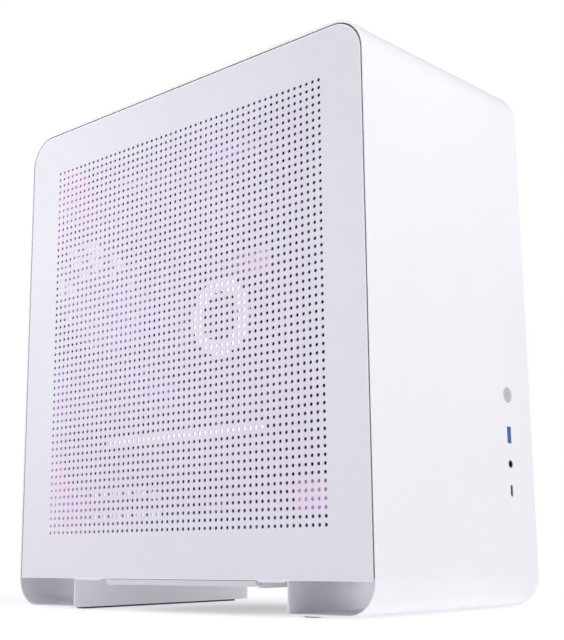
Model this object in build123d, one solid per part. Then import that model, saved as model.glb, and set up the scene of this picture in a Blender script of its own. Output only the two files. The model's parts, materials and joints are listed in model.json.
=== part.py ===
"""Desktop computer tower. Millimetres; +X right, +Y to the rear, +Z up, origin under the centre of the feet."""

from build123d import *
from math import cos, sin, radians, sqrt
import os

os.makedirs("parts", exist_ok=True)

# ---- driving dimensions: case ------------------------------------------------------------------
WIDTH = 206.0
DEPTH = 397.0
HEIGHT = 428.0
SHEET = 1.5            # folded sheet of the body loop
PANEL_GAP = 1.4        # reveal between the loop and a side panel
PANEL_T = 0.8
TOP_RADIUS = 28.0      # outer bend, top corners
FOOT_RADIUS = 24.5     # outer bend, under the feet
FOOT_LENGTH = 79.0
PAD_T = 1.5
PANEL_BOTTOM = 25.3
FLOOR_BOTTOM = 26.5
RING_W = 16.0          # folded flange that the side panels close against
RING_SETBACK = 10.0

# ---- driving dimensions: perforated field ------------------------------------------------------
HOLE_PITCH = 6.0
HOLE_D = 2.8
HOLE_COLUMNS = 53
HOLE_ROWS = 55
HOLE_FIRST_Z = 63.0

# ---- driving dimensions: front controls --------------------------------------------------------
PORT_FROM_RIGHT = 33.6
BUTTON_Z = 164.0
BUTTON_D = 11.4
USB_A_Z = 132.6
JACK_Z = 110.0
USB_C_Z = 89.5

# ---- driving dimensions: what is inside --------------------------------------------------------
FAN = 120.0
FAN_T = 25.0
FLOOR_FAN = 140.0
BOARD_W = 244.0
BOARD_H = 305.0
SLOT_PITCH = 20.32
PSU_W, PSU_T, PSU_L = 150.0, 86.0, 160.0
CARD_L, CARD_W, CARD_T = 263.0, 118.0, 54.0

# ---- derived planes ----------------------------------------------------------------------------
LEFT, RIGHT = -WIDTH / 2, WIDTH / 2
FRONT, REAR = -DEPTH / 2, DEPTH / 2
FRONT_IN, REAR_IN = FRONT + SHEET, REAR - SHEET
ROOF_IN = HEIGHT - SHEET
FLOOR_TOP = FLOOR_BOTTOM + SHEET
RING_L = LEFT + RING_SETBACK
RING_R = RIGHT - RING_SETBACK
TRAY_X = RIGHT - 24.0              # left face of the motherboard tray
BOARD_X = TRAY_X - 8.0             # component face of the motherboard
BOARD_REAR = REAR_IN - 2.0
BOARD_BOTTOM = FLOOR_TOP + 2.0
BOARD_TOP = BOARD_BOTTOM + BOARD_H
CPU_Y = REAR_IN - 125.5
CPU_Z = BOARD_TOP - 76.0
SLOT_Z = [BOARD_TOP - 173.0 - SLOT_PITCH * k for k in range(7)]
IO_BOTTOM = BOARD_TOP - 161.5
IO_TOP = BOARD_TOP - 2.7
IO_LEFT = BOARD_X - 41.0
PORT_X = RIGHT - PORT_FROM_RIGHT
REAR_FAN_X = RING_L + 2.0 + FAN / 2
REAR_FAN_Z = BOARD_TOP - 48.0
RADIATOR_T = 27.0
RADIATOR_L = 272.0
RADIATOR_X = RING_L + 13.0 + FAN / 2
RADIATOR_REAR = REAR_IN - TOP_RADIUS + 1.0
RADIATOR_FRONT = RADIATOR_REAR - RADIATOR_L
FLOOR_FAN_X = RING_L + 3.0 + FLOOR_FAN / 2
FLOOR_FAN_Y = -4.5
PSU_X0 = RING_L + 9.0
PSU_X1 = PSU_X0 + PSU_W
PSU_Y0 = FRONT_IN + 6.0
PSU_Y1 = PSU_Y0 + PSU_T
PSU_Z1 = ROOF_IN - 26.5
PSU_Z0 = PSU_Z1 - PSU_L
STUD_Y = DEPTH / 2 - 10.5
STUD_ZS = [46.0, 0.49 * HEIGHT, HEIGHT - 33.0]


# ---- small helpers -----------------------------------------------------------------------------
def block(x0, x1, y0, y1, z0, z1):
    """Box between two opposite corners."""
    return Pos((x0 + x1) / 2, (y0 + y1) / 2, (z0 + z1) / 2) * Box(x1 - x0, y1 - y0, z1 - z0)


def rod_x(x0, x1, y, z, r):
    return Pos((x0 + x1) / 2, y, z) * Rot(0, 90, 0) * Cylinder(r, x1 - x0)


def rod_y(x, y0, y1, z, r):
    return Pos(x, (y0 + y1) / 2, z) * Rot(90, 0, 0) * Cylinder(r, y1 - y0)


def rod_z(x, y, z0, z1, r):
    return Pos(x, y, (z0 + z1) / 2) * Cylinder(r, z1 - z0)


def rounded_y(x, z, w, h, r, y0, y1):
    """Rounded bar along Y, w wide in X and h tall in Z."""
    return extrude(Plane((x, y1, z), x_dir=(1, 0, 0), z_dir=(0, -1, 0)) * RectangleRounded(w, h, r), y1 - y0)


def side_outline(inset, bottom=None, bottom_radius=None):
    """Side view of the case body, inset all round, as a face in the YZ plane."""
    low = PAD_T + inset if bottom is None else bottom
    half = DEPTH / 2 - inset
    high = HEIGHT - inset
    sketch = Pos(0, (low + high) / 2) * Rectangle(2 * half, high - low)
    sketch = fillet(sketch.vertices().group_by(Axis.Y)[-1], TOP_RADIUS - inset)
    low_radius = FOOT_RADIUS - inset if bottom_radius is None else bottom_radius
    if low_radius > 0:
        sketch = fillet(sketch.vertices().group_by(Axis.Y)[0], low_radius)
    return sketch


def slab_x(sketch, x0, x1):
    """Sketch with (y, z) coordinates, made solid from x0 to x1."""
    return extrude(Plane.YZ.offset(x0) * sketch, x1 - x0)


def group(shapes):
    """Separate solids kept as one piece of the model."""
    return Compound([solid for shape in shapes for solid in shape.solids()])


def save(name, shape):
    export_step(shape, "parts/" + name + ".step")


def tube(points, radius, start, end):
    """Round cord along a smooth path; start and end are its directions at the ends."""
    path = Spline(points, tangents=[start, end])
    return sweep(Plane(path @ 0, z_dir=path % 0) * Circle(radius), path)


def bent_cord(points, radius, bend):
    """Round cord with straight runs and even bends."""
    path = FilletPolyline(*points, radius=bend)
    return sweep(Plane(path @ 0, z_dir=path % 0) * Circle(radius), path)


# ---- fans, modelled on +Z with the motor plate at z = 0 ----------------------------------------
PIN_R = 2.0
PIN_CLEARANCE = 0.05


def fan_frame(size, thick):
    bore = size / 2 - 2.5
    frame = extrude(RectangleRounded(size, size, 5), thick)
    frame -= rod_z(0, 0, -1, thick + 1, bore)
    corner = size / 2 - 7.5
    for sx in (-1, 1):
        for sy in (-1, 1):
            frame -= Pos(sx * corner, sy * corner) * rod_z(0, 0, -1, thick + 1, 2.3)
            frame -= Pos(sx * (size / 2 - 2), sy * (size / 2 - 2)) * rod_z(0, 0, 4, thick - 4, 9)
    frame += rod_z(0, 0, 0, 3, size * 0.17)
    frame += rod_z(0, 0, 0, thick - 8, PIN_R)
    for k in range(4):
        strut = block(size * 0.15, bore + 1, -2, 2, 0, 3)
        frame += Rot(0, 0, 45 + 90 * k) * strut
    return frame


def fan_rotor(radius, hub, low, high, blades, chord):
    """Hub with raked blades; the blind bore runs on the motor pin."""
    mid = (hub + radius) / 2
    span = radius - hub + 6
    rotor = rod_z(0, 0, low, high, hub)
    blade = Box(span, chord, 1.6)
    for k in range(blades):
        at = Rot(0, 0, 360 * k / blades) * Pos(mid - 3, 0, (low + high) / 2) * Rot(36, 0, 0)
        rotor += at * blade
    rotor &= rod_z(0, 0, low, high, radius)
    rotor -= rod_z(0, 0, low - 1, high - 3, PIN_R + PIN_CLEARANCE)
    return rotor


def case_rotor(size, thick):
    return fan_rotor(size / 2 - 4, size * 0.165, 4.0, thick - 2.0, 9, size * 0.21)


# ---- body loop: roof, rear and the two hollow feet in folded sheet, with a flat front plate ---------
loop = slab_x(side_outline(0) - side_outline(SHEET), LEFT, RIGHT)
foot_in = DEPTH / 2 - FOOT_LENGTH
loop -= block(LEFT - 1, RIGHT + 1, -foot_in, foot_in, 0, PAD_T + SHEET + 1)
for side in (-1, 1):
    ys = sorted((side * foot_in, side * (foot_in + SHEET)))
    loop += block(LEFT, RIGHT, ys[0], ys[1], PAD_T, PANEL_BOTTOM - 0.3)
    loop += block(LEFT + 1.5, RIGHT - 1.5, ys[0], ys[1], PAD_T, FLOOR_BOTTOM)

# flat front between the two bends, with the openings for the button and the sockets
PLATE_LOW, PLATE_HIGH = PAD_T + FOOT_RADIUS, HEIGHT - TOP_RADIUS
loop -= block(LEFT - 1, RIGHT + 1, FRONT - 1, FRONT_IN + 0.5, PLATE_LOW, PLATE_HIGH)
front = block(LEFT, RIGHT, FRONT, FRONT_IN, PLATE_LOW, PLATE_HIGH)
front -= rod_y(PORT_X, FRONT - 1, FRONT_IN + 1, BUTTON_Z, BUTTON_D / 2 + 0.3)
front -= rounded_y(PORT_X, USB_A_Z, 5.9, 13.2, 0.6, FRONT - 1, FRONT_IN + 1)
front -= rod_y(PORT_X, FRONT - 1, FRONT_IN + 1, JACK_Z, 3.1)
front -= rounded_y(PORT_X, USB_C_Z, 3.5, 9.2, 1.7, FRONT - 1, FRONT_IN + 1)
save("front_plate", front)

# rear openings
loop -= block(IO_LEFT, IO_LEFT + 44.5, REAR_IN - 1, REAR + 1, IO_BOTTOM, IO_TOP)
for z in SLOT_Z:
    loop -= block(BOARD_X - 102, BOARD_X - 3, REAR_IN - 1, REAR + 1, z - 6.8, z + 6.8)
    loop -= rod_y(BOARD_X - 108, REAR_IN - 1, REAR + 1, z, 3.3)
loop -= rod_y(REAR_FAN_X, REAR_IN - 1, REAR + 1, REAR_FAN_Z, FAN / 2 - 4)
for r in (18, 31, 44):
    hoop = rod_y(REAR_FAN_X, REAR_IN, REAR, REAR_FAN_Z, r + 1.5)
    hoop -= rod_y(REAR_FAN_X, REAR_IN - 1, REAR + 1, REAR_FAN_Z, r - 1.5)
    loop += hoop
for k in range(4):
    bar = Box(2.6, SHEET, FAN / 2 - 14)
    at = Pos(REAR_FAN_X, (REAR + REAR_IN) / 2, REAR_FAN_Z) * Rot(0, 45 + 90 * k, 0)
    loop += at * Pos(0, 0, (FAN / 2 - 4 + 18) / 2) * bar
fan_corner = FAN / 2 - 7.5
for sx in (-1, 1):
    for sz in (-1, 1):
        loop -= rod_y(REAR_FAN_X + sx * fan_corner, REAR_IN - 1, REAR + 1, REAR_FAN_Z + sz * fan_corner, 3.3)
INLET_X = TRAY_X - 17.0
INLET_Z = ROOF_IN - 51.5
loop -= rounded_y(INLET_X, INLET_Z, 28.0, 20.0, 2.0, REAR_IN - 1, REAR + 1)

# roof slots over the radiator
slot_count = int((RADIATOR_L - 30) / 8)
for column in (-1, 1):
    slots = [
        Pos(RADIATOR_X + column * 27, RADIATOR_FRONT + 18 + 8 * k) * SlotOverall(48, 3.2)
        for k in range(slot_count)
    ]
    vents = extrude(Pos(0, 0, ROOF_IN - 1) * Sketch(children=slots), SHEET + 2)
    loop -= vents
save("outer_shell", group([loop]))

# ---- floor plate ---------------------------------------------------------------------------------
floor = block(LEFT + 1.5, RIGHT - 1.5, FRONT_IN, REAR_IN, FLOOR_BOTTOM, FLOOR_TOP)
vent_r = FLOOR_FAN / 2 - 6
for k in range(-8, 9):
    half = sqrt(vent_r ** 2 - (7.4 * k) ** 2)
    floor -= block(
        FLOOR_FAN_X + 7.4 * k - 2.5, FLOOR_FAN_X + 7.4 * k + 2.5,
        FLOOR_FAN_Y - half, FLOOR_FAN_Y - 3, FLOOR_BOTTOM - 1, FLOOR_TOP + 1,
    )
    floor -= block(
        FLOOR_FAN_X + 7.4 * k - 2.5, FLOOR_FAN_X + 7.4 * k + 2.5,
        FLOOR_FAN_Y + 3, FLOOR_FAN_Y + half, FLOOR_BOTTOM - 1, FLOOR_TOP + 1,
    )
save("floor_plate", floor)

# ---- flanges the side panels close against, with sockets for the panel studs -----------------------
stud_places = [(sy * STUD_Y, z) for sy in (-1, 1) for z in STUD_ZS]
ring_sketch = side_outline(SHEET, FLOOR_TOP, 0) - side_outline(SHEET + RING_W, FLOOR_TOP + RING_W, 4)
rings, clips = [], []
for x0, x1, inward in ((RING_L, RING_L + 1.2, 1), (RING_R - 1.2, RING_R, -1)):
    ring = slab_x(ring_sketch, x0, x1)
    for y, z in stud_places:
        ring -= rod_x(x0 - 1, x1 + 1, y, z, 3.8)
        near, far = sorted((x1, x1 + 6)) if inward > 0 else sorted((x0 - 6, x0))
        clip = rod_x(near, far, y, z, 5.8) - rod_x(near - 1, far + 1, y, z, 3.4)
        clip -= block(near - 1, far + 1, y - 0.7, y + 0.7, z, z + 8)
        clips.append(clip)
    rings.append(ring)
save("side_frames", group(rings))
save("panel_clips", group(clips))

# ---- rubber strips under the feet ------------------------------------------------------------------
pads = []
for side in (-1, 1):
    y = side * (foot_in + 9)
    pads.append(extrude(Pos(0, y) * RectangleRounded(WIDTH - 26, 13, 3), PAD_T))
save("foot_pads", group(pads))

# ---- left side panel with its round-hole field ------------------------------------------------------
panel_low = PANEL_BOTTOM
panel_high = HEIGHT - SHEET - PANEL_GAP
panel_half = DEPTH / 2 - SHEET - PANEL_GAP
panel_radius = TOP_RADIUS - SHEET - PANEL_GAP
TABS = ((-116.4, -92.4), (87.6, 117.0))    # low tabs on the bottom edge, front one first
TAB_DROP = 1.5


def hole_y(i):
    return (i - (HOLE_COLUMNS - 1) / 2) * HOLE_PITCH


def hole_z(j):
    return HOLE_FIRST_Z + j * HOLE_PITCH


def panel_row(j):
    """One band of the panel, one row of holes tall, as a face seen from the side."""
    low = panel_low if j == 0 else hole_z(j - 0.5)
    high = panel_high if j == HOLE_ROWS - 1 else hole_z(j + 0.5)
    corner = panel_radius if j == HOLE_ROWS - 1 else 0
    left, right = -panel_half, panel_half
    edges = [Line((left, low), (right, low)), Line((right, low), (right, high - corner))]
    if corner:
        edges.append(RadiusArc((right, high - corner), (right - corner, high), -corner))
    edges.append(Line((right - corner, high), (left + corner, high)))
    if corner:
        edges.append(RadiusArc((left + corner, high), (left, high - corner), -corner))
    edges.append(Line((left, high - corner), (left, low)))
    holes = [
        Wire.make_circle(HOLE_D / 2, Plane(origin=(hole_y(i), hole_z(j), 0)))
        for i in range(HOLE_COLUMNS)
    ]
    return Face(Wire(edges), holes)


def perforated_panel():
    """Row bands share their long edges, so their skins close into one solid."""
    skins = []
    for j in range(HOLE_ROWS):
        band = extrude(Plane.YZ.offset(LEFT) * panel_row(j), PANEL_T)
        seams = []
        if j > 0:
            seams.append(hole_z(j - 0.5))
        if j < HOLE_ROWS - 1:
            seams.append(hole_z(j + 0.5))
        for skin in band.faces():
            box = skin.bounding_box()
            flat = box.max.Z - box.min.Z < 1e-4
            on_seam = any(abs(box.min.Z - z) < 1e-4 for z in seams)
            if not (flat and on_seam):
                skins.append(skin)
    return Solid(Shell(skins))


save("left_panel", perforated_panel())


def panel_tabs(x0, x1):
    """Low tabs with sloped ends that carry on from a panel's bottom edge."""
    tabs = []
    for a, b in TABS:
        low = panel_low - TAB_DROP
        corners = [(a - 3, panel_low), (a, low), (b, low), (b + 3, panel_low)]
        tabs.append(slab_x(make_face(Polyline(*corners, close=True)), x0, x1))
    return tabs


def panel_back(x_skin, inward):
    """Folded flanges and ball studs behind a side panel; inward is the direction into the case."""
    rim_sketch = side_outline(SHEET + PANEL_GAP + 2, PANEL_BOTTOM + 4, 2)
    rim_sketch -= side_outline(SHEET + PANEL_GAP + 3.2, PANEL_BOTTOM + 5.2, 1)
    x_end = x_skin + inward * 7.5
    rim = slab_x(rim_sketch, min(x_skin, x_end), max(x_skin, x_end))
    upright = DEPTH / 2 - TOP_RADIUS + 1.5
    pieces = []
    for y0, y1 in ((-DEPTH / 2, -upright), (-upright, upright), (upright, DEPTH / 2)):
        part_of_rim = rim & block(LEFT - 1, RIGHT + 1, y0, y1, 0, HEIGHT)
        pieces += part_of_rim.solids()
    for y, z in stud_places:
        ball_x = x_skin + inward * 12.4
        stem = rod_x(min(x_skin, ball_x), max(x_skin, ball_x), y, z, 1.8)
        base = rod_x(min(x_skin, x_skin + inward * 2), max(x_skin, x_skin + inward * 2), y, z, 4.0)
        pieces.append(stem + base + Pos(ball_x, y, z) * Sphere(3.0))
    return pieces


save("left_panel_rim", group(panel_back(LEFT + PANEL_T, 1) + panel_tabs(LEFT, LEFT + PANEL_T)))

# ---- right side panel, plain ------------------------------------------------------------------------
plain = slab_x(side_outline(SHEET + PANEL_GAP, panel_low, 2), RIGHT - PANEL_T, RIGHT)
for piece in panel_back(RIGHT - PANEL_T, -1) + panel_tabs(RIGHT - PANEL_T, RIGHT):
    plain += piece
save("right_panel", plain)

# ---- dust filter that slides out to the left under the floor -----------------------------------------
FILTER_Y0, FILTER_Y1 = FLOOR_FAN_Y - 84.2, FLOOR_FAN_Y + 84.2
FILTER_X1 = FLOOR_FAN_X + FLOOR_FAN / 2 + 4
filter_frame = block(LEFT + 2.5, FILTER_X1, FILTER_Y0, FILTER_Y1, 21.2, 24.6)
filter_frame -= block(LEFT + 12, FILTER_X1 - 8, FILTER_Y0 + 9, FILTER_Y1 - 9, 20, 26)
for k in range(1, 3):
    y = FILTER_Y0 + (FILTER_Y1 - FILTER_Y0) * k / 3
    filter_frame += block(LEFT + 11, FILTER_X1 - 7, y - 1.5, y + 1.5, 21.2, 22.6)
for k in range(1, 3):
    x = LEFT + 12 + (FILTER_X1 - LEFT - 20) * k / 3
    filter_frame += block(x - 1.5, x + 1.5, FILTER_Y0 + 8, FILTER_Y1 - 8, 21.2, 22.6)
lip = block(LEFT + 0.4, LEFT + 2.6, FILTER_Y0, FILTER_Y1, 20.6, 24.8)
lip = fillet(lip.edges().filter_by(Axis.X).group_by(Axis.Z)[0], 2.2)
filter_frame += lip
save("filter_frame", filter_frame)
mesh = block(LEFT + 11.6, FILTER_X1 - 7.6, FILTER_Y0 + 8.6, FILTER_Y1 - 8.6, 22.6, 23.0)
save("filter_mesh", mesh & block(LEFT + 12, FILTER_X1 - 8, FILTER_Y0 + 9, FILTER_Y1 - 9, 20, 26))

rails = []
for side, y in ((-1, FILTER_Y0), (1, FILTER_Y1)):
    wall = sorted((y + side * 0.4, y + side * 1.6))
    shelf = sorted((y - side * 3.0, y + side * 1.6))
    rail = block(LEFT + 6, FILTER_X1 + 1, wall[0], wall[1], 19.6, FLOOR_BOTTOM)
    rail += block(LEFT + 6, FILTER_X1 + 1, shelf[0], shelf[1], 19.6, 20.9)
    rails.append(rail)
stop = block(FILTER_X1 + 0.3, FILTER_X1 + 1.5, FILTER_Y0 - 1.6, FILTER_Y1 + 1.6, 22.0, FLOOR_BOTTOM)
rails[0] += stop
rails[0] += rails[1]
save("filter_rails", rails[0])

# ---- motherboard tray and standoffs -----------------------------------------------------------------
TRAY_FRONT = PSU_Y1
TRAY_TOP = BOARD_TOP + 30
tray = block(TRAY_X, TRAY_X + 1.2, TRAY_FRONT, REAR_IN, FLOOR_TOP, TRAY_TOP)
tray -= block(TRAY_X - 1, TRAY_X + 3, CPU_Y - 55, CPU_Y + 45, CPU_Z - 50, CPU_Z + 50)
for z in (70, 150, 235):
    tray -= block(TRAY_X - 1, TRAY_X + 3, BOARD_REAR - BOARD_W - 30, BOARD_REAR - BOARD_W - 8, z, z + 55)
for y in (30, 142):
    tray -= block(TRAY_X - 1, TRAY_X + 3, y, y + 34, BOARD_TOP + 5, BOARD_TOP + 22)
tray += block(TRAY_X + 1.2, TRAY_X + 6, TRAY_FRONT, TRAY_FRONT + 1.2, FLOOR_TOP, TRAY_TOP)
tray += block(TRAY_X + 1.2, TRAY_X + 6, REAR_IN - 1.2, REAR_IN, FLOOR_TOP, TRAY_TOP)
save("board_tray", tray)

BOARD_HOLES = [
    (y, z)
    for y in (BOARD_REAR - 10.2, BOARD_REAR - 134, BOARD_REAR - BOARD_W + 6)
    for z in (BOARD_TOP - 8, BOARD_TOP - 163, BOARD_BOTTOM + 8)
]
standoffs = []
for y, z in BOARD_HOLES:
    post = rod_x(BOARD_X + 1.6, TRAY_X, y, z, 3.0)
    standoffs.append(post - rod_x(BOARD_X, TRAY_X - 1, y, z, 1.6))
save("board_standoffs", group(standoffs))

# ---- motherboard with its sockets, slots and heatsinks ------------------------------------------------
board = block(BOARD_X, BOARD_X + 1.6, BOARD_REAR - BOARD_W, BOARD_REAR, BOARD_BOTTOM, BOARD_TOP)
for y, z in BOARD_HOLES:
    board -= rod_x(BOARD_X - 1, BOARD_X + 3, y, z, 1.9)
save("motherboard", board)

PORTS = (
    # centre height above the aperture's low edge, width along it, how far it stands off the board
    (14, 13.2, 13.0), (32, 13.2, 13.0), (54, 16.0, 27.5), (77, 13.4, 15.6), (94, 13.4, 15.6),
    (115, 16.0, 15.0), (139, 15.0, 9.0),
)
ports, shield = [], block(IO_LEFT - 0.8, IO_LEFT + 46, REAR_IN - 1.2, REAR_IN, IO_BOTTOM - 2.2, IO_TOP + 3)
for up, w, tall in PORTS:
    z = IO_BOTTOM + up
    port = block(BOARD_X - tall, BOARD_X, REAR_IN - 24, REAR - 0.4, z - w / 2, z + w / 2)
    port -= block(BOARD_X - tall + 1, BOARD_X - 2, REAR_IN - 8, REAR + 1, z - w / 2 + 1, z + w / 2 - 1)
    ports.append(port)
    cut = (BOARD_X - tall - 0.3, BOARD_X + 0.3, REAR_IN - 3, REAR_IN + 1)
    shield -= block(*cut, z - w / 2 - 0.3, z + w / 2 + 0.3)
save("io_ports", group(ports))
save("io_shield", shield)

socket = block(BOARD_X - 6, BOARD_X, CPU_Y - 27, CPU_Y + 27, CPU_Z - 30, CPU_Z + 30)
socket += block(BOARD_X - 8, BOARD_X - 6, CPU_Y - 19, CPU_Y + 19, CPU_Z - 19, CPU_Z + 19)
save("cpu_socket", socket)

RAM_YS = [CPU_Y - 62 - 9.5 * k for k in range(4)]
RAM_Z0 = BOARD_TOP - 144
slots = []
for y in RAM_YS:
    slot = block(BOARD_X - 9, BOARD_X, y - 3.2, y + 3.2, RAM_Z0 - 6, RAM_Z0 + 139.5)
    slot -= block(BOARD_X - 10, BOARD_X - 4, y - 0.9, y + 0.9, RAM_Z0 - 0.2, RAM_Z0 + 133.7)
    slots.append(slot)
CARD_SLOT_REAR = BOARD_REAR - 46
for k, length in ((0, 89), (3, 89), (5, 25)):
    y1 = CARD_SLOT_REAR
    slot = block(BOARD_X - 11, BOARD_X, y1 - length, y1, SLOT_Z[k] - 3.7, SLOT_Z[k] + 3.7)
    slot -= block(BOARD_X - 12, BOARD_X - 4, y1 - length + 2, y1 - 2, SLOT_Z[k] - 0.95, SLOT_Z[k] + 0.95)
    slots.append(slot)
save("board_slots", group(slots))

for name, y in (("ram_module_a", RAM_YS[1]), ("ram_module_b", RAM_YS[3])):
    module = block(BOARD_X - 38, BOARD_X - 4.2, y - 0.7, y + 0.7, RAM_Z0, RAM_Z0 + 133.5)
    module += block(BOARD_X - 42, BOARD_X - 10, y - 3.2, y + 3.2, RAM_Z0 + 0.5, RAM_Z0 + 133)
    for k in range(5):
        z = RAM_Z0 + 14 + 26 * k
        module -= block(BOARD_X - 36, BOARD_X - 14, y - 4, y - 2.6, z - 8, z + 8)
        module -= block(BOARD_X - 36, BOARD_X - 14, y + 2.6, y + 4, z - 8, z + 8)
    save(name, module)

board_front = BOARD_REAR - BOARD_W
ATX_Z = CPU_Z - 8
EPS_Y = BOARD_REAR - 48
sockets = [
    block(BOARD_X - 13, BOARD_X, board_front + 1, board_front + 10, ATX_Z - 26, ATX_Z + 26),
    block(BOARD_X - 13, BOARD_X, EPS_Y - 10, EPS_Y + 10, BOARD_TOP - 11, BOARD_TOP - 1),
]
for k in range(4):
    z = BOARD_BOTTOM + 71 + 17 * k
    sockets.append(block(BOARD_X - 9, BOARD_X, board_front + 0.5, board_front + 10, z, z + 14))
for k in range(5):
    y = board_front + 56 + 30 * k
    sockets.append(block(BOARD_X - 8, BOARD_X, y, y + 20, BOARD_BOTTOM + 0.5, BOARD_BOTTOM + 5.5))
save("power_sockets", group(sockets))


def finned(x0, x1, y0, y1, z0, z1, count, along_z):
    """Heatsink block with grooves cut from its outer face."""
    sink = block(x0, x1, y0, y1, z0, z1)
    span = (z1 - z0) if along_z else (y1 - y0)
    for k in range(1, count):
        at = (z0 if along_z else y0) + span * k / count
        if along_z:
            sink -= block(x0 - 1, x1 - 6, y0 - 1, y1 + 1, at - 1.2, at + 1.2)
        else:
            sink -= block(x0 - 1, x1 - 6, at - 1.2, at + 1.2, z0 - 1, z1 + 1)
    return sink


VRM_Y0, VRM_Y1 = BOARD_REAR - 52, BOARD_REAR - 28
sinks = [
    finned(BOARD_X - 30, BOARD_X, VRM_Y0, VRM_Y1, CPU_Z - 38, CPU_Z + 50, 12, True),
    finned(BOARD_X - 26, BOARD_X, CPU_Y - 40, CPU_Y + 40, BOARD_TOP - 35, BOARD_TOP - 13, 11, False),
    block(BOARD_X - 9, BOARD_X, board_front + 16, board_front + 66, SLOT_Z[4] - 4, SLOT_Z[2] + 4),
    block(BOARD_X - 6, BOARD_X, board_front + 74, board_front + 164, SLOT_Z[2] - 12, SLOT_Z[2] + 12),
]
save("board_heatsinks", group(sinks))

# ---- liquid cooler: pump on the processor, hoses, radiator under the roof -------------------------------
PUMP_TOP = BOARD_X - 52
pump = rod_x(PUMP_TOP + 2, BOARD_X - 14, CPU_Y, CPU_Z, 36)
pump += block(BOARD_X - 14, BOARD_X - 8, CPU_Y - 28, CPU_Y + 28, CPU_Z - 28, CPU_Z + 28)
pump += rod_x(PUMP_TOP, PUMP_TOP + 2, CPU_Y, CPU_Z, 23.6)
HOSE_X = BOARD_X - 30
HOSE_ZS = (CPU_Z + 3, CPU_Z + 19)
for z in HOSE_ZS:
    pump += rod_y(HOSE_X, CPU_Y + 28, CPU_Y + 41, z, 7)
save("pump_block", pump)
ring = rod_x(PUMP_TOP, PUMP_TOP + 2, CPU_Y, CPU_Z, 36) - rod_x(PUMP_TOP - 1, PUMP_TOP + 3, CPU_Y, CPU_Z, 24)
save("pump_ring", ring)

RADIATOR_Z0 = ROOF_IN - RADIATOR_T
TANK_Y = RADIATOR_REAR - 7
hoses = []
for z, x_end, reach in ((HOSE_ZS[0], RADIATOR_X + 34, 86), (HOSE_ZS[1], RADIATOR_X + 14, 80)):
    start_y = CPU_Y + 41
    hoses.append(tube(
        [(HOSE_X, start_y, z), (HOSE_X - 4, start_y + 22, z + 22), (x_end + 6, start_y + 46, z + reach),
         (x_end, TANK_Y, RADIATOR_Z0 - 9)],
        5.4, (0, 1, 0), (0, 0, 1),
    ))
save("coolant_hoses", group(hoses))

rx0, rx1 = RADIATOR_X - FAN / 2, RADIATOR_X + FAN / 2
radiator = block(rx0, rx1, RADIATOR_FRONT, RADIATOR_FRONT + 18, RADIATOR_Z0, ROOF_IN)
radiator += block(rx0, rx1, RADIATOR_REAR - 17, RADIATOR_REAR, RADIATOR_Z0, ROOF_IN)
core_y0, core_y1 = RADIATOR_FRONT + 18, RADIATOR_REAR - 17
core = block(rx0, rx1, core_y0, core_y1, RADIATOR_Z0, ROOF_IN)
for k in range(12):
    x = rx0 + 6 + (FAN - 12) * (k + 0.5) / 12
    core -= block(x - 3.2, x + 3.2, core_y0 + 2, core_y1 - 2, RADIATOR_Z0 - 1, RADIATOR_Z0 + 8)
    core -= block(x - 3.2, x + 3.2, core_y0 + 2, core_y1 - 2, ROOF_IN - 8, ROOF_IN + 1)
radiator += core
for x in (RADIATOR_X + 34, RADIATOR_X + 14):
    radiator += rod_z(x, TANK_Y, RADIATOR_Z0 - 9, RADIATOR_Z0, 6.4)
save("radiator", radiator)

top_fan_ys = (core_y0 + FAN / 2, core_y0 + 1.5 * FAN)
for name, y in (("top_fan_front", top_fan_ys[0]), ("top_fan_rear", top_fan_ys[1])):
    at = Pos(RADIATOR_X, y, RADIATOR_Z0 - FAN_T)
    save(name + "_frame", at * fan_frame(FAN, FAN_T))
    save(name + "_rotor", at * case_rotor(FAN, FAN_T))

rear_at = Pos(REAR_FAN_X, REAR_IN, REAR_FAN_Z) * Rot(90, 0, 0)
save("rear_fan_frame", rear_at * fan_frame(FAN, FAN_T))
save("rear_fan_rotor", rear_at * case_rotor(FAN, FAN_T))

floor_at = Pos(FLOOR_FAN_X, FLOOR_FAN_Y, FLOOR_TOP)
save("bottom_fan_frame", floor_at * fan_frame(FLOOR_FAN, FAN_T))
save("bottom_fan_rotor", floor_at * case_rotor(FLOOR_FAN, FAN_T))

# ---- graphics card: board on top, cooler and two fans facing down ---------------------------------------
CARD_Z = SLOT_Z[0]
CARD_X1 = BOARD_X - 12.0
CARD_X0 = CARD_X1 - CARD_W
CARD_Y1 = REAR_IN - 1.2
CARD_Y0 = CARD_Y1 - CARD_L
CARD_LOW = CARD_Z - CARD_T
card = block(CARD_X0, CARD_X1, CARD_Y0, CARD_Y1, CARD_Z - 0.8, CARD_Z + 0.8)
card += block(CARD_X1, BOARD_X - 4.3, CARD_SLOT_REAR - 86.5, CARD_SLOT_REAR - 2.5, CARD_Z - 0.8, CARD_Z + 0.8)
card += block(CARD_X0 + 32, CARD_X0 + 77, CARD_Y0 + 130, CARD_Y0 + 175, CARD_Z - 3.5, CARD_Z - 0.8)
save("gpu_board", card)

back = block(CARD_X0, CARD_X1 - 2, CARD_Y0, CARD_Y1, CARD_Z + 0.8, CARD_Z + 3.2)
back -= block(CARD_X0 + 3, CARD_X1 - 5, CARD_Y0 + 3, CARD_Y1 - 3, CARD_Z, CARD_Z + 2.0)
for k in range(8):
    x = CARD_X0 + 22 + 10 * k
    back -= block(x - 2, x + 2, CARD_Y0 + 12, CARD_Y0 + 62, CARD_Z + 1, CARD_Z + 4)
save("gpu_backplate", back)

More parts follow.
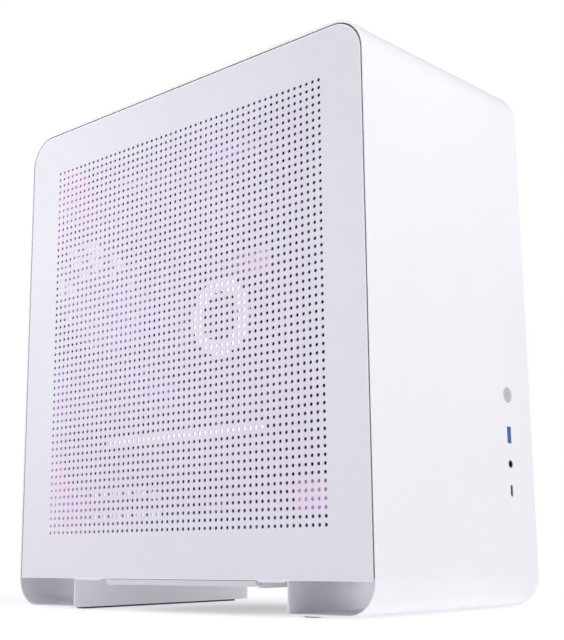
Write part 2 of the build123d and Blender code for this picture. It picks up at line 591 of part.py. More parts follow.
SHROUD_TOP = CARD_Z - 0.8
CARD_FAN_R = 43.0
card_fan_x = (CARD_X0 + CARD_X1) / 2
card_fan_ys = (CARD_Y0 + 62, CARD_Y1 - 66)
shroud = block(CARD_X0, CARD_X1, CARD_Y0, CARD_Y1, CARD_LOW, SHROUD_TOP)
shroud = chamfer(shroud.edges().filter_by(Axis.Y).group_by(Axis.Z)[0], 5)
shroud -= block(CARD_X0 + 2, CARD_X1 - 2, CARD_Y0 + 2, CARD_Y1 - 2, CARD_LOW + 6, SHROUD_TOP + 1)
shroud -= block(CARD_X1 - 3, CARD_X1 + 1, CARD_Y0 + 14, CARD_Y1 - 14, CARD_LOW + 12, SHROUD_TOP + 1)
shroud -= block(CARD_X0 - 1, CARD_X0 + 3, CARD_Y0 + 10, CARD_Y1 - 10, CARD_Z - 16, CARD_Z - 7)
BAR_Y0, BAR_Y1, BAR_Z = CARD_Y0 + 9, CARD_Y1 - 64, CARD_Z - 21.5
shroud -= block(CARD_X0 - 1, CARD_X0 + 1.2, BAR_Y0, BAR_Y1, BAR_Z - 2.6, BAR_Z + 2.6)
for y in card_fan_ys:
    shroud -= rod_z(card_fan_x, y, CARD_LOW - 1, CARD_LOW + 7, CARD_FAN_R + 1.5)
    mount = rod_z(card_fan_x, y, CARD_LOW + 20, CARD_LOW + 22.4, 15)
    mount += rod_z(card_fan_x, y, CARD_LOW + 7, CARD_LOW + 20, PIN_R)
    mount += block(CARD_X0 + 1, CARD_X1 - 1, y - 3, y + 3, CARD_LOW + 20, CARD_LOW + 22.4)
    shroud += mount
    shroud += block(CARD_X1 - 2, CARD_X1, y - 3, y + 3, CARD_LOW + 11, CARD_LOW + 22.4)
save("gpu_shroud", shroud)
save("gpu_light_bar", block(CARD_X0 - 0.3, CARD_X0 + 1.2, BAR_Y0, BAR_Y1, BAR_Z - 2.6, BAR_Z + 2.6))

sink = block(CARD_X0 + 5, CARD_X1 - 5, CARD_Y0 + 5, CARD_Y1 - 5, CARD_Z - 6, CARD_Z - 3.5)
fin_count = 46
for k in range(fin_count):
    y = CARD_Y0 + 6 + (CARD_L - 12) * (k + 0.5) / fin_count
    sink += block(CARD_X0 + 5, CARD_X1 - 5, y - 0.5, y + 0.5, CARD_LOW + 22.6, CARD_Z - 6)
save("gpu_heatsink", sink)

for name, y in (("gpu_rotor_a", card_fan_ys[0]), ("gpu_rotor_b", card_fan_ys[1])):
    rotor = fan_rotor(CARD_FAN_R, 17, 0.6, 16.5, 11, 20)
    save(name, Pos(card_fan_x, y, CARD_LOW + 19.6) * Rot(180, 0, 0) * rotor)

bracket = block(BOARD_X - 113, BOARD_X - 1, REAR_IN - 1.2, REAR_IN, SLOT_Z[1] - 9.2, SLOT_Z[0] + 9.2)
for z in SLOT_Z[:2]:
    for k in range(3):
        x = BOARD_X - 24 - 26 * k
        bracket -= block(x - 9, x + 9, REAR_IN - 3, REAR_IN + 1, z - 4, z + 4)
save("gpu_bracket", bracket)

covers = []
for z in SLOT_Z[2:]:
    cover = block(BOARD_X - 113, BOARD_X - 1, REAR_IN - 1.2, REAR_IN, z - 9.2, z + 9.2)
    for k in range(9):
        x = BOARD_X - 14 - 10 * k
        cover -= block(x - 3, x + 3, REAR_IN - 3, REAR_IN + 1, z - 3.5, z + 3.5)
    covers.append(cover)
save("slot_covers", group(covers))

# ---- power supply standing behind the front, on its bracket ----------------------------------------------
psu_mid_x, psu_mid_z = (PSU_X0 + PSU_X1) / 2, (PSU_Z0 + PSU_Z1) / 2
plate = block(RING_L + 1.2, TRAY_X, PSU_Y1, PSU_Y1 + 1.2, PSU_Z0 - 1, ROOF_IN)
plate -= rod_y(psu_mid_x, PSU_Y1 - 1, PSU_Y1 + 3, psu_mid_z, 66)
save("psu_bracket", plate)

PSU_FAN_R = 61.0
psu = block(PSU_X0, PSU_X1, PSU_Y0, PSU_Y1, PSU_Z0, PSU_Z1)
psu -= block(PSU_X0 + 1.2, PSU_X1 - 1.2, PSU_Y0 + 1.2, PSU_Y1 - 1.2, PSU_Z0 + 1.2, PSU_Z1 - 1.2)
psu -= rod_y(psu_mid_x, PSU_Y1 - 3, PSU_Y1 + 1, psu_mid_z, PSU_FAN_R + 1.5)
for r in (20, 32, 44, 56):
    hoop = rod_y(psu_mid_x, PSU_Y1 - 1.2, PSU_Y1, psu_mid_z, r + 1)
    psu += hoop - rod_y(psu_mid_x, PSU_Y1 - 2, PSU_Y1 + 1, psu_mid_z, r - 1)
for k in range(4):
    arm = Pos(psu_mid_x, PSU_Y1 - 0.6, psu_mid_z) * Rot(0, 45 + 90 * k, 0)
    psu += arm * Pos(0, 0, (PSU_FAN_R + 21.5) / 2) * Box(2.4, 1.2, PSU_FAN_R - 18)
psu_motor_y = PSU_Y1 - 26
psu += rod_y(psu_mid_x, psu_motor_y, psu_motor_y + 2.4, psu_mid_z, 16)
psu += rod_y(psu_mid_x, psu_motor_y, psu_motor_y + 16, psu_mid_z, PIN_R)
psu += block(PSU_X0 + 1, PSU_X1 - 1, psu_motor_y, psu_motor_y + 2.4, psu_mid_z - 3, psu_mid_z + 3)
psu_mid_y = (PSU_Y0 + PSU_Y1) / 2
ROCKER_X = PSU_X1 - 26
psu -= block(ROCKER_X - 9.8, ROCKER_X + 9.8, psu_mid_y - 6.8, psu_mid_y + 6.8, PSU_Z1 - 3, PSU_Z1 + 1)
for k in range(9):
    x = PSU_X0 + 48 + 6.6 * k
    psu -= block(x - 1.8, x + 1.8, PSU_Y0 + 10, PSU_Y1 - 10, PSU_Z1 - 3, PSU_Z1 + 1)
cup = block(ROCKER_X - 11, ROCKER_X + 11, psu_mid_y - 8, psu_mid_y + 8, PSU_Z1 - 14, PSU_Z1 - 1.2)
cup -= block(ROCKER_X - 9.8, ROCKER_X + 9.8, psu_mid_y - 6.8, psu_mid_y + 6.8, PSU_Z1 - 13, PSU_Z1)
for side in (-1, 1):
    ys = sorted((psu_mid_y + side * 6.9, psu_mid_y + side * 5.2))
    cup += rod_y(ROCKER_X, ys[0], ys[1], PSU_Z1 - 6, 1.5)
psu += cup
PLUG_X = PSU_X0 + 24
psu += block(PLUG_X - 14, PLUG_X + 14, psu_mid_y - 10, psu_mid_y + 10, PSU_Z1, PSU_Z1 + 3)
for k in range(5):
    x = PSU_X0 + 20 + 27 * k
    psu += block(x - 9, x + 9, psu_mid_y - 6, psu_mid_y + 6, PSU_Z0 - 4, PSU_Z0)
save("psu_case", psu)
rotor = fan_rotor(PSU_FAN_R - 2, 21, 3.0, 22.0, 9, 25)
save("psu_rotor", Pos(psu_mid_x, psu_motor_y, psu_mid_z) * Rot(-90, 0, 0) * rotor)

tilt = Pos(ROCKER_X, psu_mid_y, PSU_Z1 - 6) * Rot(0, 7, 0)
rocker_body = Pos(0, 0, 2.3) * Box(17.6, 12.8, 9.6)
rocker_body -= Pos(9.2, 0, 9.6) * Rot(0, 14, 0) * Box(18, 30, 6)
rocker_body -= Pos(-9.2, 0, 9.6) * Rot(0, -14, 0) * Box(18, 30, 6)
rocker_body -= Rot(90, 0, 0) * Cylinder(1.55, 14)
save("rocker_switch", tilt * rocker_body)

# ---- mains inlet in the rear wall ---------------------------------------------------------------------------
INLET_END = REAR_IN - 22
inlet = rounded_y(INLET_X, INLET_Z, 27.4, 19.4, 1.8, INLET_END, REAR - 0.3)
inlet += block(INLET_X - 17, INLET_X + 17, REAR_IN - 2.5, REAR_IN, INLET_Z - 13, INLET_Z + 13)
inlet -= rounded_y(INLET_X, INLET_Z, 24.4, 16.6, 1.5, REAR_IN - 14, REAR + 1)
for dx, dz in ((-7, -2), (0, 2), (7, -2)):
    inlet += block(INLET_X + dx - 1, INLET_X + dx + 1, REAR_IN - 15, REAR - 3, INLET_Z + dz - 2, INLET_Z + dz + 2)
save("power_inlet", inlet)

# ---- cables inside ------------------------------------------------------------------------------------------
exits = [PSU_X0 + 20 + 27 * k for k in range(5)]
low = PSU_Z0 - 4
behind = TRAY_X + 10
over_psu = PSU_Z1 + 14
cables = [
    bent_cord([(exits[3], psu_mid_y, low), (exits[3], psu_mid_y, low - 24),
               (BOARD_X - 30, board_front - 30, ATX_Z - 10), (BOARD_X - 30, board_front + 5.5, ATX_Z),
               (BOARD_X - 13, board_front + 5.5, ATX_Z)], 4.2, 9),
    bent_cord([(exits[1], psu_mid_y, low), (exits[1], psu_mid_y, low - 30),
               (CARD_X0 - 13, CARD_Y0 - 14, CARD_Z - 11.5), (CARD_X0 - 13, CARD_Y0 + 24, CARD_Z - 11.5),
               (CARD_X0 + 1, CARD_Y0 + 24, CARD_Z - 11.5)], 3.4, 8),
    bent_cord([(exits[4], psu_mid_y, low), (exits[4], psu_mid_y, low - 16),
               (behind, TRAY_FRONT - 16, low - 16), (behind, TRAY_FRONT + 20, low - 16),
               (behind, EPS_Y - 40, BOARD_TOP + 14), (behind, EPS_Y, BOARD_TOP + 14),
               (BOARD_X - 7, EPS_Y, BOARD_TOP + 14), (BOARD_X - 7, EPS_Y, BOARD_TOP - 1)], 3.2, 7),
    bent_cord([(PLUG_X, psu_mid_y, PSU_Z1 + 3), (PLUG_X, psu_mid_y, over_psu),
               (behind, psu_mid_y, over_psu - 6), (behind, TRAY_FRONT + 10, over_psu - 14),
               (behind, INLET_END - 16, INLET_Z), (INLET_X, INLET_END - 16, INLET_Z),
               (INLET_X, INLET_END, INLET_Z)], 3.6, 7),
]
save("power_cables", group(cables))

# ---- front controls on their little upright board -------------------------------------------------------------
IO_BOARD_X = PORT_X + 4.2
io_board = block(IO_BOARD_X, IO_BOARD_X + 1.6, FRONT_IN, FRONT_IN + 24, USB_C_Z - 14, BUTTON_Z + 14)
io_board -= block(IO_BOARD_X - 1, IO_BOARD_X + 3, FRONT_IN - 1, FRONT_IN + 4, BUTTON_Z - 8, BUTTON_Z + 8)
for z in (USB_C_Z - 9, BUTTON_Z + 11):
    io_board += block(IO_BOARD_X + 1.6, IO_BOARD_X + 9, FRONT_IN, FRONT_IN + 3, z - 4, z + 4)
save("front_io_board", io_board)

usb_a = rounded_y(PORT_X, USB_A_Z, 5.5, 12.8, 0.5, FRONT + 0.3, FRONT + 15)
usb_a -= rounded_y(PORT_X, USB_A_Z, 4.9, 12.2, 0.4, FRONT - 1, FRONT + 14)
usb_a += block(PORT_X + 2.6, IO_BOARD_X, FRONT + 3, FRONT + 15, USB_A_Z - 6, USB_A_Z + 6)
save("usb_a_port", usb_a)
tongue = block(PORT_X + 0.1, PORT_X + 2.4, FRONT + 1.2, FRONT + 14, USB_A_Z - 5.6, USB_A_Z + 5.6)
tongue += block(PORT_X - 2.4, PORT_X + 2.4, FRONT + 12, FRONT + 14, USB_A_Z - 6, USB_A_Z + 6)
save("usb_a_tongue", tongue)

usb_c = rounded_y(PORT_X, USB_C_Z, 3.1, 8.8, 1.5, FRONT + 0.3, FRONT + 10)
usb_c -= rounded_y(PORT_X, USB_C_Z, 2.5, 8.2, 1.2, FRONT - 1, FRONT + 9)
usb_c += block(PORT_X - 0.35, PORT_X + 0.35, FRONT + 1.4, FRONT + 9.5, USB_C_Z - 3.3, USB_C_Z + 3.3)
usb_c += block(PORT_X + 1.4, IO_BOARD_X, FRONT + 3, FRONT + 10, USB_C_Z - 3.5, USB_C_Z + 3.5)
save("usb_c_port", usb_c)

jack = rod_y(PORT_X, FRONT + 0.2, FRONT + 5, JACK_Z, 2.85)
jack += block(PORT_X - 3, IO_BOARD_X, FRONT + 3, FRONT + 15, JACK_Z - 3.2, JACK_Z + 3.2)
jack -= rod_y(PORT_X, FRONT - 1, FRONT + 14, JACK_Z, 1.8)
save("audio_jack", jack)

switch = block(PORT_X - 3, IO_BOARD_X, FRONT_IN + 7.2, FRONT_IN + 14, BUTTON_Z - 3.5, BUTTON_Z + 3.5)
save("power_switch", switch)

# power button: capped plunger with a flange behind the sheet and an engraved ring-and-bar mark
button = rod_y(PORT_X, FRONT, FRONT_IN + 2.2, BUTTON_Z, BUTTON_D / 2)
button = fillet(button.edges().filter_by(GeomType.CIRCLE).group_by(Axis.Y)[0], 0.4)
button += rod_y(PORT_X, FRONT_IN + 0.3, FRONT_IN + 1.6, BUTTON_Z, BUTTON_D / 2 + 1.2)
button += rod_y(PORT_X, FRONT_IN + 2, FRONT_IN + 6.0, BUTTON_Z, 1.8)
mark = rod_y(PORT_X, FRONT - 1, FRONT + 0.25, BUTTON_Z, 2.5)
mark -= rod_y(PORT_X, FRONT - 2, FRONT + 1, BUTTON_Z, 1.9)
mark -= block(PORT_X - 0.8, PORT_X + 0.8, FRONT - 2, FRONT + 1, BUTTON_Z, BUTTON_Z + 4)
mark += block(PORT_X - 0.3, PORT_X + 0.3, FRONT - 1, FRONT + 0.25, BUTTON_Z + 0.6, BUTTON_Z + 3.0)
button -= mark
save("power_button", button)

# ---- hard drive on the floor behind the front ------------------------------------------------------------------
DRIVE_X0 = PSU_X0 - 1
DRIVE_Y0 = FRONT_IN + 8
caddy = block(DRIVE_X0, DRIVE_X0 + 147, DRIVE_Y0 - 1.4, DRIVE_Y0 + 103, FLOOR_TOP, FLOOR_TOP + 1.2)
caddy += block(DRIVE_X0, DRIVE_X0 + 147, DRIVE_Y0 - 1.4, DRIVE_Y0 - 0.2, FLOOR_TOP, FLOOR_TOP + 20)
caddy += block(DRIVE_X0, DRIVE_X0 + 147, DRIVE_Y0 + 101.8, DRIVE_Y0 + 103, FLOOR_TOP, FLOOR_TOP + 20)
caddy -= block(DRIVE_X0 + 30, DRIVE_X0 + 117, DRIVE_Y0 + 20, DRIVE_Y0 + 82, FLOOR_TOP - 1, FLOOR_TOP + 3)
save("drive_bracket", caddy)
drive = block(DRIVE_X0, DRIVE_X0 + 147, DRIVE_Y0, DRIVE_Y0 + 101.6, FLOOR_TOP + 1.2, FLOOR_TOP + 27.2)
drive -= block(DRIVE_X0 + 8, DRIVE_X0 + 139, DRIVE_Y0 + 8, DRIVE_Y0 + 93.6, FLOOR_TOP + 26, FLOOR_TOP + 28)
drive += rod_z(DRIVE_X0 + 55, DRIVE_Y0 + 51, FLOOR_TOP + 25, FLOOR_TOP + 26.8, 30)
save("hard_drive", drive)

# ---- screws -----------------------------------------------------------------------------------------------------
screws = []
for y, z in BOARD_HOLES:
    screws.append(rod_x(BOARD_X - 1.6, BOARD_X, y, z, 3.0) + rod_x(BOARD_X - 0.5, TRAY_X - 2, y, z, 1.5))
for sx in (-1, 1):
    for sz in (-1, 1):
        x, z = REAR_FAN_X + sx * fan_corner, REAR_FAN_Z + sz * fan_corner
        screws.append(rod_y(x, REAR_IN, REAR, z, 3.2) + rod_y(x, REAR_IN - 9, REAR_IN + 0.5, z, 2.1))
for z in SLOT_Z:
    screws.append(rod_y(BOARD_X - 108, REAR_IN, REAR, z, 3.2))
save("case_screws", group(screws))
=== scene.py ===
"""Looks for the desktop computer tower: materials, small visible detail, studio light and camera."""
import json
import math

import bmesh
import bpy
from mathutils import Matrix, Vector


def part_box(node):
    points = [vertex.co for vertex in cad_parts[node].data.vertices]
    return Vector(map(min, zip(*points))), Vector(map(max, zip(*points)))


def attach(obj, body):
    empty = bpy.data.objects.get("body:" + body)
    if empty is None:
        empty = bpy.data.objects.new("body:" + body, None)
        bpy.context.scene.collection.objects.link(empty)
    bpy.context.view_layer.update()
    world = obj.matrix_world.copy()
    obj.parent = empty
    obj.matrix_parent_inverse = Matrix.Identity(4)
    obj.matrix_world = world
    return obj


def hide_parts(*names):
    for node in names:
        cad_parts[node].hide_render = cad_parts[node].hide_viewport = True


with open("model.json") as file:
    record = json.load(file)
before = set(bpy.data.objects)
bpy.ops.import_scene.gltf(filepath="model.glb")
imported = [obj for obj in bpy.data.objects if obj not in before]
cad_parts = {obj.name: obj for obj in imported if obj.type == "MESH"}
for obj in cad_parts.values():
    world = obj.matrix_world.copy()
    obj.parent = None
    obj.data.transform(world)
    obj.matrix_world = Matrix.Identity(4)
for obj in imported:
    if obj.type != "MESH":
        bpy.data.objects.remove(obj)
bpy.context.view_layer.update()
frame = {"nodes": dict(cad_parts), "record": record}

NODES = frame["nodes"]
MM = 0.001


# ---- node-graph helpers --------------------------------------------------------------------------
class Graph:
    """One material and short ways to add and join its nodes."""

    def __init__(self, name):
        self.material = bpy.data.materials.new(name)
        self.material.use_nodes = True
        self.tree = self.material.node_tree
        self.tree.nodes.clear()
        self.output = self.add("ShaderNodeOutputMaterial")
        self.coords = self.add("ShaderNodeTexCoord").outputs["Object"]

    def add(self, kind, **settings):
        node = self.tree.nodes.new(kind)
        for key, value in settings.items():
            if key in node.inputs:
                self.put(node.inputs[key], value)
            else:
                setattr(node, key, value)
        return node

    def put(self, socket, value):
        if isinstance(value, bpy.types.NodeSocket):
            self.tree.links.new(value, socket)
        else:
            socket.default_value = value

    def noise(self, scale, detail=3.0, roughness=0.5):
        node = self.add(
            "ShaderNodeTexNoise", Vector=self.coords, Scale=scale, Detail=detail, Roughness=roughness,
        )
        return node.outputs["Fac"]

    def ramp(self, value, low, high, low_colour, high_colour):
        node = self.add("ShaderNodeValToRGB", Fac=value)
        node.color_ramp.elements[0].position = low
        node.color_ramp.elements[1].position = high
        node.color_ramp.elements[0].color = low_colour
        node.color_ramp.elements[1].color = high_colour
        return node.outputs["Color"]

    def span(self, value, low, high):
        """Maps 0..1 onto low..high."""
        node = self.add("ShaderNodeMapRange")
        self.put(node.inputs["Value"], value)
        node.inputs["To Min"].default_value = low
        node.inputs["To Max"].default_value = high
        return node.outputs["Result"]

    def bump(self, height, strength, distance):
        node = self.add("ShaderNodeBump", Height=height, Strength=strength, Distance=distance)
        return node.outputs["Normal"]

    def finish(self, shader):
        self.tree.links.new(shader.outputs[0], self.output.inputs["Surface"])
        return self.material


def shade(colour, factor):
    return tuple(min(1.0, c * factor) for c in colour[:3]) + (1.0,)


def coated(name, colour, roughness=0.45, grain=1400.0, depth=0.00006, mottle=0.03):
    """Paint, powder coat or moulded plastic: fine grain in the surface and a faint drift in tone."""
    g = Graph(name)
    drift = g.noise(9.0, 4.0)
    fine = g.noise(grain, 2.0, 0.6)
    base = g.ramp(drift, 0.3, 0.7, shade(colour, 1 - mottle), shade(colour, 1 + mottle))
    rough = g.span(g.noise(grain * 0.12, 3.0), roughness - 0.06, roughness + 0.08)
    shader = g.add("ShaderNodeBsdfPrincipled", Roughness=rough, Normal=g.bump(fine, 0.35, depth))
    g.put(shader.inputs["Base Color"], base)
    return g.finish(shader)


def brushed(name, colour, roughness=0.32, stretch=(6.0, 900.0, 900.0)):
    """Rolled or brushed metal with fine streaks."""
    g = Graph(name)
    mapping = g.add("ShaderNodeMapping", Vector=g.coords)
    mapping.inputs["Scale"].default_value = stretch
    streak_node = g.add("ShaderNodeTexNoise", Vector=mapping.outputs["Vector"], Scale=1.0, Detail=4.0)
    streak = streak_node.outputs["Fac"]
    smudge = g.noise(30.0, 3.0)
    rough = g.span(smudge, roughness - 0.08, roughness + 0.12)
    base = g.ramp(streak, 0.35, 0.65, shade(colour, 0.9), shade(colour, 1.06))
    shader = g.add("ShaderNodeBsdfPrincipled", Roughness=rough, Normal=g.bump(streak, 0.15, 0.00004))
    g.put(shader.inputs["Base Color"], base)
    shader.inputs["Metallic"].default_value = 1.0
    return g.finish(shader)


def glowing(name, colour, glow, strength, blotch=0.2):
    """Milky plastic lit from behind, a little uneven."""
    g = Graph(name)
    patch = g.noise(55.0, 2.0)
    base = g.ramp(patch, 0.3, 0.7, shade(colour, 0.95), shade(colour, 1.03))
    light = g.ramp(patch, 0.25, 0.75, shade(glow, 1 - blotch), shade(glow, 1 + blotch))
    shader = g.add("ShaderNodeBsdfPrincipled")
    g.put(shader.inputs["Base Color"], base)
    g.put(shader.inputs["Emission Color"], light)
    shader.inputs["Roughness"].default_value = 0.4
    shader.inputs["Emission Strength"].default_value = strength
    g.put(shader.inputs["Normal"], g.bump(g.noise(700.0), 0.2, 0.00005))
    return g.finish(shader)


def woven(name, colour, pitch=0.0016):
    """Braided sleeve: two crossing sets of bands."""
    g = Graph(name)
    bands = []
    for turn in (0.7, -0.7):
        mapping = g.add("ShaderNodeMapping", Vector=g.coords)
        mapping.inputs["Rotation"].default_value = (turn, turn, turn)
        wave = g.add(
            "ShaderNodeTexWave", Vector=mapping.outputs["Vector"], Scale=0.5 / pitch / 3.1, Distortion=0.4,
        )
        bands.append(wave.outputs["Fac"])
    mixed = g.add("ShaderNodeMath", operation="MULTIPLY")
    g.put(mixed.inputs[0], bands[0])
    g.put(mixed.inputs[1], bands[1])
    weave = mixed.outputs[0]
    base = g.ramp(weave, 0.0, 0.8, shade(colour, 0.55), shade(colour, 1.2))
    shader = g.add("ShaderNodeBsdfPrincipled", Normal=g.bump(weave, 0.6, 0.0003))
    g.put(shader.inputs["Base Color"], base)
    shader.inputs["Roughness"].default_value = 0.75
    return g.finish(shader)


def circuit(name, colour, trace):
    """Solder mask with raised tracks, pads and a slight mottle."""
    g = Graph(name)
    mapping = g.add("ShaderNodeMapping", Vector=g.coords)
    brick = g.add("ShaderNodeTexBrick", Vector=mapping.outputs["Vector"], Scale=140.0)
    brick.inputs["Color1"].default_value = (0, 0, 0, 1)
    brick.inputs["Color2"].default_value = (0.2, 0.2, 0.2, 1)
    brick.inputs["Mortar"].default_value = (1, 1, 1, 1)
    brick.inputs["Mortar Size"].default_value = 0.05
    mapping.inputs["Rotation"].default_value = (0.0, math.pi / 2, 0.0)
    cells = g.add("ShaderNodeTexVoronoi", Vector=g.coords, Scale=260.0, feature="DISTANCE_TO_EDGE")
    edge = g.ramp(cells.outputs["Distance"], 0.02, 0.06, (1, 1, 1, 1), (0, 0, 0, 1))
    tracks = g.add(
        "ShaderNodeMixRGB", blend_type="MULTIPLY", Fac=0.6, Color1=brick.outputs["Color"], Color2=edge,
    )
    base = g.add(
        "ShaderNodeMixRGB", Fac=tracks.outputs["Color"], Color1=shade(colour, 1.0), Color2=shade(trace, 1.0),
    )
    shader = g.add("ShaderNodeBsdfPrincipled", Normal=g.bump(tracks.outputs["Color"], 0.3, 0.0001))
    g.put(shader.inputs["Base Color"], base.outputs["Color"])
    shader.inputs["Roughness"].default_value = 0.38
    return g.finish(shader)


# ---- materials, one for each slot of the record ------------------------------------------------------
MATERIALS = {
    "shell_white": coated("shell_white", (0.83, 0.825, 0.865), 0.42, 1500.0, 0.00005, 0.012),
    "panel_white": coated("panel_white", (0.77, 0.765, 0.83), 0.5, 1500.0, 0.00008, 0.015),
    "inner_white": coated("inner_white", (0.72, 0.70, 0.75), 0.5, 1200.0, 0.00005, 0.03),
    "inner_dark": coated("inner_dark", (0.034, 0.024, 0.044), 0.45, 1200.0, 0.00006, 0.08),
    "graphite_plastic": coated("graphite_plastic", (0.034, 0.024, 0.045), 0.42, 1300.0, 0.00005, 0.08),
    # the rear fan's blades are lighter and glow brighter and paler than the other rotors: partly their own
    # pink lighting, partly painted light for the white surround shining through them from behind
    "rear_blades": glowing("rear_blades", (0.42, 0.36, 0.48), (1.0, 0.70, 0.98), 0.10),
    "clip_plastic": coated("clip_plastic", (0.80, 0.80, 0.83), 0.4, 900.0),
    "pad_rubber": coated("pad_rubber", (0.045, 0.045, 0.05), 0.8, 700.0, 0.0002, 0.15),
    "filter_plastic": coated("filter_plastic", (0.66, 0.66, 0.70), 0.5, 1100.0),
    "filter_net": coated("filter_net", (0.34, 0.34, 0.37), 0.8, 2500.0, 0.0003, 0.1),
    "zinc_steel": brushed("zinc_steel", (0.72, 0.73, 0.76)),
    "pcb": circuit("pcb", (0.018, 0.02, 0.024), (0.10, 0.09, 0.06)),
    "ports_metal": brushed("ports_metal", (0.68, 0.69, 0.71), 0.25),
    "socket_plastic": coated("socket_plastic", (0.03, 0.03, 0.033), 0.45, 900.0, 0.00006, 0.1),
    "heatsink_alu": brushed("heatsink_alu", (0.70, 0.71, 0.75), 0.38, (900.0, 30.0, 30.0)),
    "dark_alu": coated("dark_alu", (0.05, 0.05, 0.056), 0.45, 1400.0, 0.0001, 0.12),
    "light_diffuser": glowing("light_diffuser", (0.95, 0.94, 0.97), (1.0, 0.86, 1.0), 1.3),
    "hose_rubber": woven("hose_rubber", (0.06, 0.06, 0.066)),
    "blade_plastic": glowing("blade_plastic", (0.30, 0.26, 0.36), (0.62, 0.36, 1.0), 0.07),
    "cable_sleeve": woven("cable_sleeve", (0.05, 0.05, 0.055), 0.0012),
    "usb_blue": coated("usb_blue", (0.03, 0.17, 0.55), 0.42, 900.0, 0.00005, 0.06),
    "black_plastic": coated("black_plastic", (0.022, 0.022, 0.026), 0.42, 900.0, 0.00006, 0.1),
    "button_white": coated("button_white", (0.50, 0.50, 0.53), 0.32, 1800.0, 0.00003, 0.02),
    "drive_alu": brushed("drive_alu", (0.5, 0.51, 0.53), 0.4, (40.0, 500.0, 40.0)),
}


# the hole field of the left panel: (axis, middle, half length), and how far the painted violet light over it
# takes to fade
HOLE_FIELD = (("Y", 0.0, 0.158), ("Z", 0.225, 0.164))
FADE_START, FADE_END = 0.02, 0.006


def paint_light_spill(material, spilled_light_colour):
    """Paints a faint violet tint over the hole field of the left panel: painted light, the glow from inside
    falling on the sheet between the holes, put into its colour.
    """
    tree = material.node_tree
    shader = next(node for node in tree.nodes if node.type == "BSDF_PRINCIPLED")
    plain = shader.inputs["Base Color"].links[0].from_socket
    coords = tree.nodes.new("ShaderNodeTexCoord").outputs["Object"]
    split = tree.nodes.new("ShaderNodeSeparateXYZ")
    tree.links.new(coords, split.inputs[0])
    left = tree.nodes.new("ShaderNodeMath")
    left.operation = "LESS_THAN"
    left.inputs[1].default_value = 0.0
    tree.links.new(split.outputs["X"], left.inputs[0])
    spill_light_mask = left.outputs[0]
    for axis, middle, half in HOLE_FIELD:
        offset = tree.nodes.new("ShaderNodeMath")
        offset.operation = "SUBTRACT"
        offset.inputs[1].default_value = middle
        tree.links.new(split.outputs[axis], offset.inputs[0])
        away = tree.nodes.new("ShaderNodeMath")
        away.operation = "ABSOLUTE"
        tree.links.new(offset.outputs[0], away.inputs[0])
        edge = tree.nodes.new("ShaderNodeMapRange")
        edge.interpolation_type = "SMOOTHSTEP"
        for socket, number in (("From Min", half + FADE_END), ("From Max", half - FADE_START)):
            edge.inputs[socket].default_value = number
        tree.links.new(away.outputs[0], edge.inputs["Value"])
        both = tree.nodes.new("ShaderNodeMath")
        both.operation = "MULTIPLY"
        tree.links.new(spill_light_mask, both.inputs[0])
        tree.links.new(edge.outputs["Result"], both.inputs[1])
        spill_light_mask = both.outputs[0]
    mix = tree.nodes.new("ShaderNodeMix")
    mix.data_type = "RGBA"
    mix.blend_type = "MULTIPLY"
    sockets = {socket.identifier: socket for socket in mix.inputs}
    tree.links.new(spill_light_mask, sockets["Factor_Float"])
    tree.links.new(plain, sockets["A_Color"])
    sockets["B_Color"].default_value = spilled_light_colour
    result = next(socket for socket in mix.outputs if socket.identifier == "Result_Color")
    tree.links.new(result, shader.inputs["Base Color"])


# painted light: violet glow from inside, multiplied into the left panel's colour over its hole field
paint_light_spill(MATERIALS["panel_white"], (0.985, 0.93, 0.99, 1))
for entry in frame["record"]["subparts"]:
    node = NODES[entry["node"]]
    node.data.materials.clear()
    node.data.materials.append(MATERIALS[entry["material_slot"]])


# ---- detail pieces ---------------------------------------------------------------------------------------
def place(node, part=0.5):
    """A point in a node's box; part is one number or three, 0 at the low corner and 1 at the high one."""
    low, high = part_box(node)
    parts = (part, part, part) if isinstance(part, (int, float)) else part
    return Vector([a + (b - a) * t for a, b, t in zip(low, high, parts)])


